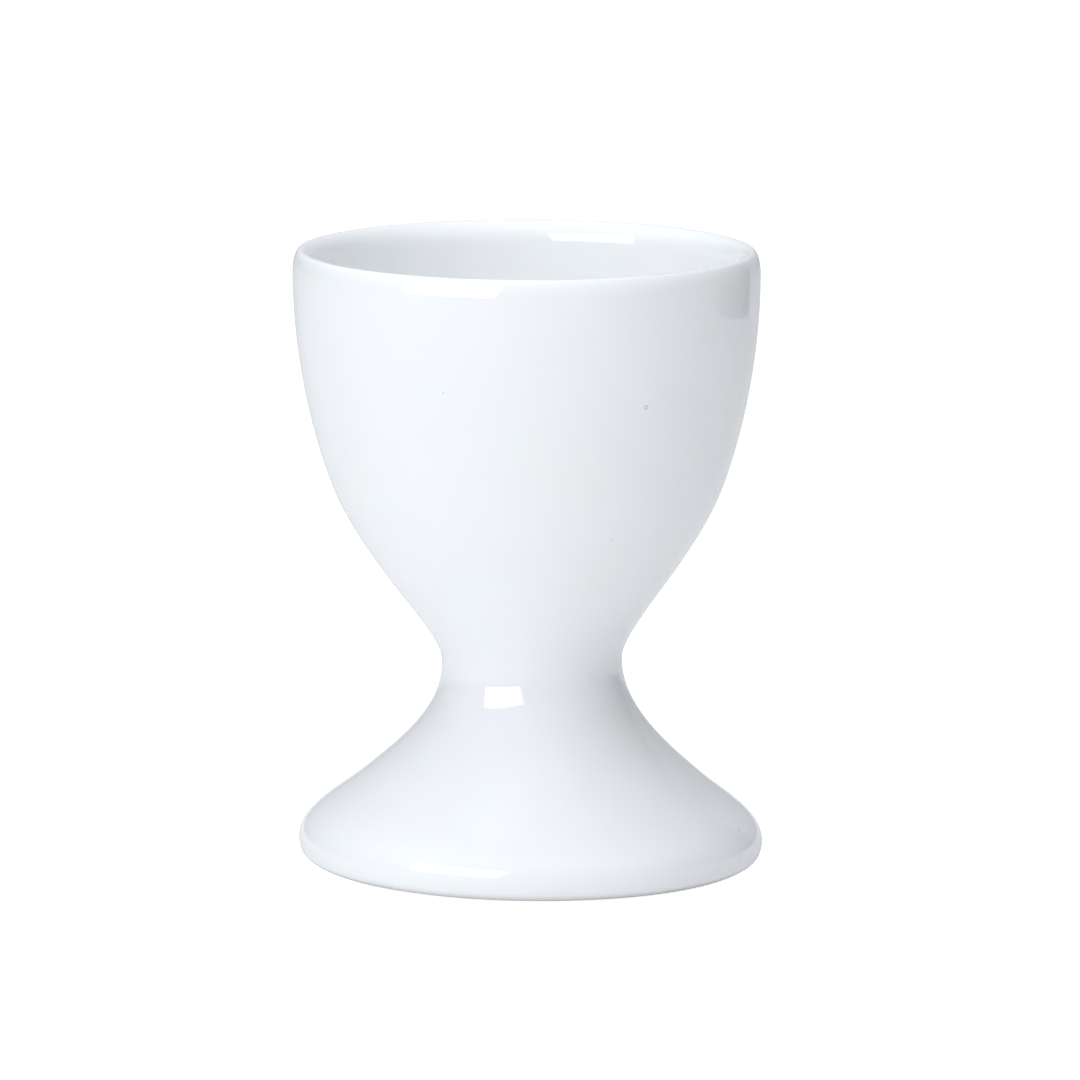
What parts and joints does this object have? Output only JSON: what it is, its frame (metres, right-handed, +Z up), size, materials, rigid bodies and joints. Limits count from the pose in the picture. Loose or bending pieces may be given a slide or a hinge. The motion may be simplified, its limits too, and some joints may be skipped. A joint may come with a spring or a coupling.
{
  "type": "egg cup",
  "caption": "Footed egg cup in glossy white glazed porcelain: a deep round bowl with a rounded lip, a waisted neck and a wide flared hollow foot standing on a bare ring.",
  "frame": {"origin": "middle of the foot ring, on the surface that the cup stands on", "axes": "+Z up along the cup's axis, out of the bowl's mouth; the cup is round about +Z, so +X and +Y are alike"},
  "size_m": [0.05, 0.05, 0.0663],
  "materials": {
    "white_glaze": "glossy",
    "foot_glaze": "glossy, with a matt bare ring underneath",
    "slip": "matt"
  },
  "bodies": {
    "root": {"bowl": "white_glaze", "foot": "foot_glaze", "slip_joint": "slip"}
  },
  "joints": []
}
